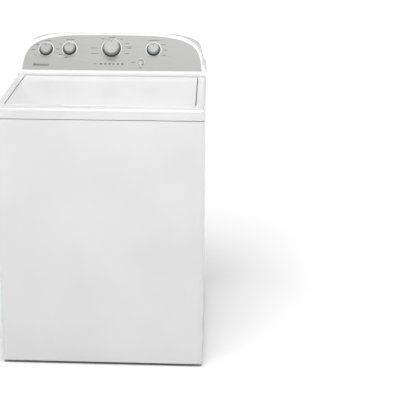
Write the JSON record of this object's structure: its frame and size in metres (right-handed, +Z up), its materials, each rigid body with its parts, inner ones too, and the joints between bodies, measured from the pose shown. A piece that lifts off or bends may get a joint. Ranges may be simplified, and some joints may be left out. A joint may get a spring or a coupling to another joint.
{
  "type": "top load washing machine",
  "caption": "Top-loading washing machine: a white cabinet with a hinged lid, a leaning silver control console with knobs, and a sprung tub with a spinning basket and agitator.",
  "frame": {"origin": "on the floor under the middle of the overall box", "axes": "X runs across the front, +Y points from the front to the back, +Z is up; the front faces -Y"},
  "size_m": [0.698, 0.686, 1.067],
  "materials": {
    "white_enamel": "gloss white enamel",
    "white_plastic": "gloss",
    "grey_plastic": "satin",
    "silver_fascia": "brushed silver look",
    "galvanised": "zinc coated",
    "stainless": "brushed",
    "tub_plastic": "matt",
    "dark_plastic": "matt",
    "rubber": "matt",
    "circuit_board": "satin",
    "cast_aluminium": "as cast",
    "motor_steel": "painted"
  },
  "bodies": {
    "cabinet_body": {"cabinet": "white_enamel", "rear_panel": "galvanised", "base_frame": "galvanised", "top_panel": "white_enamel", "corner_brackets": "galvanised", "console_housing": "white_plastic", "console_fascia": "silver_fascia", "console_rear_cover": "galvanised", "indicator_lights": "dark_plastic", "control_board": "circuit_board", "control_switches": "dark_plastic", "inlet_valve": "tub_plastic", "fill_hose": "rubber", "drain_port": "dark_plastic", "drain_hose": "rubber", "cord_gland": "dark_plastic", "suspension_rods": "galvanised", "rod_fittings": "tub_plastic", "suspension_springs": "galvanised", "lid_lock": "tub_plastic", "hinge_bushings": "dark_plastic", "bleach_dispenser": "grey_plastic", "foot_lock_nuts": "galvanised", "cabinet_screws": "galvanised"},
    "lid": {"lid_panel": "white_enamel", "lid_liner": "white_plastic", "lid_hinge_pins": "galvanised", "lid_strike": "galvanised", "lid_bumpers": "rubber"},
    "cycle_dial": {"cycle_knob": "silver_fascia"},
    "temperature_dial": {"temperature_knob": "silver_fascia"},
    "soil_dial": {"soil_knob": "silver_fascia"},
    "option_dial": {"option_knob": "silver_fascia"},
    "button": {"start_button": "silver_fascia"},
    "lock_bolt": {"lid_lock_bolt": "galvanised"},
    "foot_fl": {"foot_front_left": "rubber"},
    "foot_fr": {"foot_front_right": "rubber"},
    "foot_rl": {"foot_rear_left": "rubber"},
    "foot_rr": {"foot_rear_right": "rubber"},
    "tub": {"outer_tub": "tub_plastic", "tub_ring": "tub_plastic", "shaft_seal": "rubber", "tub_bearings": "stainless", "gearcase": "cast_aluminium", "motor": "motor_steel", "shift_actuator": "dark_plastic", "drain_pump": "tub_plastic", "drive_belt": "rubber"},
    "drum": {"basket": "stainless", "balance_ring": "grey_plastic", "spin_tube": "stainless"},
    "agitator": {"agitator_base": "white_plastic", "agitate_shaft": "stainless", "agitator_cap": "grey_plastic"},
    "auger": {"agitator_auger": "white_plastic"},
    "pulley": {"drive_pulley": "cast_aluminium"},
    "motor_rotor": {"motor_pulley": "cast_aluminium"},
    "impeller": {"pump_impeller": "dark_plastic"},
    "slider": {"clutch_slider": "motor_steel"},
    "lever": {"shift_lever": "tub_plastic"}
  },
  "joints": [
    {"name": "lid_hinge", "type": "hinge", "parent": "cabinet_body", "child": "lid", "pos_m": [0, 0.1145, 0.916], "axis": [-1, 0, 0], "range_deg": [0, 95]},
    {"name": "lid_lock_slide", "type": "slide", "parent": "cabinet_body", "child": "lock_bolt", "axis": [-1, 0, 0], "range_m": [0, 0.012]},
    {"name": "cycle_dial_turn", "type": "hinge", "parent": "cabinet_body", "child": "cycle_dial", "pos_m": [-0.003, 0.19143, 1.0152], "axis": [0, -0.8251, 0.565], "continuous": true},
    {"name": "temperature_dial_turn", "type": "hinge", "parent": "cabinet_body", "child": "temperature_dial", "pos_m": [-0.246, 0.18804, 1.01025], "axis": [0, -0.8251, 0.565], "range_deg": [-150, 150]},
    {"name": "soil_dial_turn", "type": "hinge", "parent": "cabinet_body", "child": "soil_dial", "pos_m": [-0.159, 0.18974, 1.01272], "axis": [0, -0.8251, 0.565], "range_deg": [-150, 150]},
    {"name": "option_dial_turn", "type": "hinge", "parent": "cabinet_body", "child": "option_dial", "pos_m": [0.152, 0.18974, 1.01272], "axis": [0, -0.8251, 0.565], "range_deg": [-150, 150]},
    {"name": "start_button_press", "type": "slide", "parent": "cabinet_body", "child": "button", "axis": [0, 0.8251, -0.565], "range_m": [0, 0.0012], "stiffness_N_per_m": 800, "springref_m": -0.001},
    {"name": "foot_front_left_screw", "type": "slide", "parent": "cabinet_body", "child": "foot_fl", "axis": [0, 0, 1], "range_m": [-0.02, 0]},
    {"name": "foot_front_right_screw", "type": "slide", "parent": "cabinet_body", "child": "foot_fr", "axis": [0, 0, 1], "range_m": [-0.02, 0]},
    {"name": "foot_rear_left_screw", "type": "slide", "parent": "cabinet_body", "child": "foot_rl", "axis": [0, 0, 1], "range_m": [-0.02, 0]},
    {"name": "foot_rear_right_screw", "type": "slide", "parent": "cabinet_body", "child": "foot_rr", "axis": [0, 0, 1], "range_m": [-0.02, 0]},
    {"name": "tub_bounce", "type": "slide", "parent": "cabinet_body", "child": "tub", "axis": [0, 0, 1], "range_m": [-0.025, 0.01], "stiffness_N_per_m": 22000, "springref_m": 0.01369, "deforming": ["suspension_springs", "drain_hose"]},
    {"name": "drum_spin", "type": "hinge", "parent": "tub", "child": "drum", "pos_m": [0, -0.0105, 0.5], "axis": [0, 0, 1], "continuous": true},
    {"name": "agitator_turn", "type": "hinge", "parent": "drum", "child": "agitator", "pos_m": [0, -0.0105, 0.4], "axis": [0, 0, 1], "continuous": true},
    {"name": "auger_turn", "type": "hinge", "parent": "agitator", "child": "auger", "pos_m": [0, -0.0105, 0.6], "axis": [0, 0, 1], "continuous": true},
    {"name": "drive_pulley_turn", "type": "hinge", "parent": "drum", "child": "pulley", "pos_m": [0, -0.0105, 0.187], "axis": [0, 0, 1], "continuous": true},
    {"name": "motor_turn", "type": "hinge", "parent": "tub", "child": "motor_rotor", "pos_m": [0.158, -0.0105, 0.187], "axis": [0, 0, 1], "continuous": true},
    {"name": "clutch_shift", "type": "slide", "parent": "drum", "child": "slider", "axis": [0, 0, -1], "range_m": [0, 0.006]},
    {"name": "shift_lever_tilt", "type": "hinge", "parent": "tub", "child": "lever", "pos_m": [-0.078, -0.0105, 0.226], "axis": [0, 1, 0], "range_deg": [0, 7]},
    {"name": "pump_turn", "type": "hinge", "parent": "tub", "child": "impeller", "pos_m": [-0.15, -0.1225, 0.24], "axis": [0, 0, 1], "continuous": true}
  ],
  "couplings": [
    {"joint": "drive_pulley_turn", "follows": "agitator_turn", "ratio": 5},
    {"joint": "motor_turn", "follows": "agitator_turn", "ratio": 19.574},
    {"joint": "shift_lever_tilt", "follows": "clutch_shift", "rad_per_m": 19.6}
  ]
}
